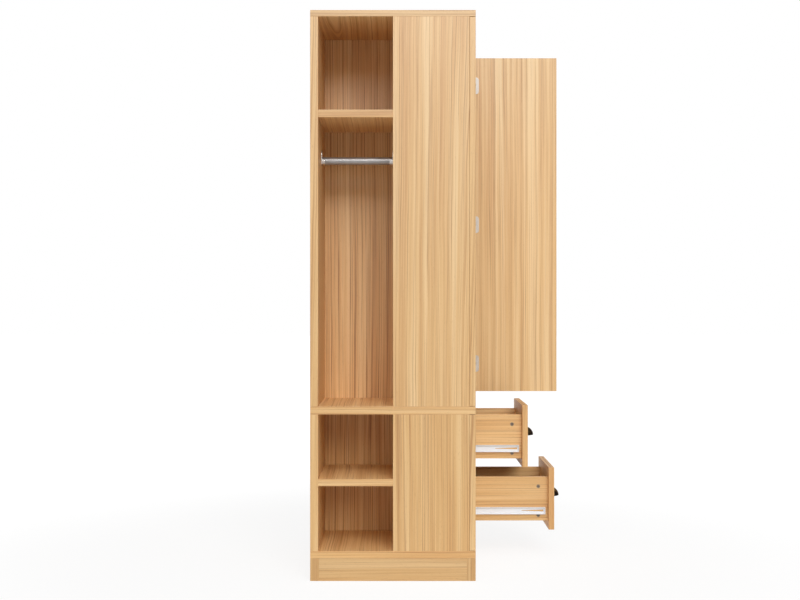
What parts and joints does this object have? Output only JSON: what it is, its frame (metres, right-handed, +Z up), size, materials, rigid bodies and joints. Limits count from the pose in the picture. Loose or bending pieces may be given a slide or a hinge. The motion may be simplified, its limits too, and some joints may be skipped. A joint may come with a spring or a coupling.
{
  "type": "chifforobe",
  "caption": "Tall narrow wardrobe with a door column, side-facing cubbies and hanging space, a tall hinged door and two drawers on slides, on a plinth.",
  "frame": {"origin": "on the floor in the middle of the case's footprint, under the plinth's centre rail", "axes": "+Z up, -Y to the front with the doors and drawers, +X to the right seen from the front"},
  "size_m": [0.7365, 0.8605, 1.8],
  "materials": {
    "oak_board": "satin light oak melamine with fine grain",
    "thin_board": "satin light oak printed hardboard",
    "beech": "bare beech",
    "hinge_nickel": "bright nickel plate",
    "slide_steel": "white powder coat",
    "roller_nylon": "natural nylon",
    "rail_steel": "satin chrome tube",
    "bracket_steel": "bright zinc plate",
    "pin_steel": "nickel plate",
    "cam_zinc": "dull zinc casting",
    "dark_bronze": "oil-rubbed dark bronze"
  },
  "bodies": {
    "case": {"top_panel": "oak_board", "divider_panel": "oak_board", "bottom_panel": "oak_board", "side_panel_left_upper": "oak_board", "side_panel_right_upper": "oak_board", "partition_upper": "oak_board", "rear_wall_upper": "oak_board", "cross_wall_upper": "oak_board", "back_panels": "thin_board", "side_panel_left_lower": "oak_board", "side_panel_right_lower": "oak_board", "partition_lower": "oak_board", "rear_wall_lower": "oak_board", "cross_wall_lower": "oak_board", "hat_shelf_left": "oak_board", "hat_shelf_right": "oak_board", "cubby_shelf": "oak_board", "plinth_front": "oak_board", "plinth_rear": "oak_board", "plinth_sides": "oak_board", "plinth_centre_rail": "oak_board", "column_shelves": "oak_board", "shelf_pins": "pin_steel", "dowels": "beech", "cam_locks": "cam_zinc", "hinge_plates": "hinge_nickel", "hinge_arms": "hinge_nickel", "fixed_slide_rails": "slide_steel", "fixed_slide_rollers": "roller_nylon", "coat_rail_left": "rail_steel", "rail_brackets": "bracket_steel", "coat_rail_right": "rail_steel"},
    "right_door_links": {"right_door_hinge_links": "hinge_nickel"},
    "right_door": {"right_door_hinge_cups": "hinge_nickel", "right_door_panel": "oak_board", "right_door_knob": "dark_bronze"},
    "left_upper_door_links": {"left_upper_door_hinge_links": "hinge_nickel"},
    "left_upper_door": {"left_upper_door_hinge_cups": "hinge_nickel", "left_upper_door_panel": "oak_board", "left_upper_door_knob": "dark_bronze"},
    "left_lower_door_links": {"left_lower_door_hinge_links": "hinge_nickel"},
    "left_lower_door": {"left_lower_door_hinge_cups": "hinge_nickel", "left_lower_door_panel": "oak_board", "left_lower_door_knob": "dark_bronze"},
    "upper_drawer": {"upper_drawer_front": "oak_board", "upper_drawer_sides": "oak_board", "upper_drawer_back": "oak_board", "upper_drawer_slides": "slide_steel", "upper_drawer_rollers": "roller_nylon", "upper_drawer_fasteners": "cam_zinc", "upper_drawer_bottom": "thin_board", "upper_drawer_pull": "dark_bronze"},
    "lower_drawer": {"lower_drawer_front": "oak_board", "lower_drawer_sides": "oak_board", "lower_drawer_back": "oak_board", "lower_drawer_slides": "slide_steel", "lower_drawer_rollers": "roller_nylon", "lower_drawer_fasteners": "cam_zinc", "lower_drawer_bottom": "thin_board", "lower_drawer_pull": "dark_bronze"}
  },
  "joints": [
    {"name": "right_door_link_fold", "type": "hinge", "parent": "case", "child": "right_door_links", "pos_m": [0.32622, -0.25305, 1.165], "axis": [0, 0, 1], "range_deg": [-4.28, 76.21]},
    {"name": "right_door_swing", "type": "hinge", "parent": "right_door_links", "child": "right_door", "pos_m": [0.3406, -0.274, 1.165], "axis": [0, 0, 1], "range_deg": [-166.16, 9.23]},
    {"name": "left_upper_door_link_fold", "type": "hinge", "parent": "case", "child": "left_upper_door_links", "pos_m": [-0.32622, -0.25305, 1.165], "axis": [0, 0, -1], "range_deg": [-80.44, 0]},
    {"name": "left_upper_door_swing", "type": "hinge", "parent": "left_upper_door_links", "child": "left_upper_door", "pos_m": [-0.35, -0.2441, 1.165], "axis": [0, 0, -1], "range_deg": [0, 175.39]},
    {"name": "left_lower_door_link_fold", "type": "hinge", "parent": "case", "child": "left_lower_door_links", "pos_m": [-0.32622, -0.25305, 0.3095], "axis": [0, 0, -1], "range_deg": [-80.44, 0]},
    {"name": "left_lower_door_swing", "type": "hinge", "parent": "left_lower_door_links", "child": "left_lower_door", "pos_m": [-0.35, -0.2441, 0.3095], "axis": [0, 0, -1], "range_deg": [0, 175.39]},
    {"name": "upper_drawer_slide", "type": "slide", "parent": "case", "child": "upper_drawer", "axis": [0, -1, 0], "range_m": [-0.202, 0.121]},
    {"name": "lower_drawer_slide", "type": "slide", "parent": "case", "child": "lower_drawer", "axis": [0, -1, 0], "range_m": [-0.293, 0.03]}
  ],
  "couplings": [
    {"joint": "right_door_link_fold", "follows": "right_door_swing", "ratio": -0.45836},
    {"joint": "left_upper_door_link_fold", "follows": "left_upper_door_swing", "ratio": -0.45836},
    {"joint": "left_lower_door_link_fold", "follows": "left_lower_door_swing", "ratio": -0.45836}
  ]
}
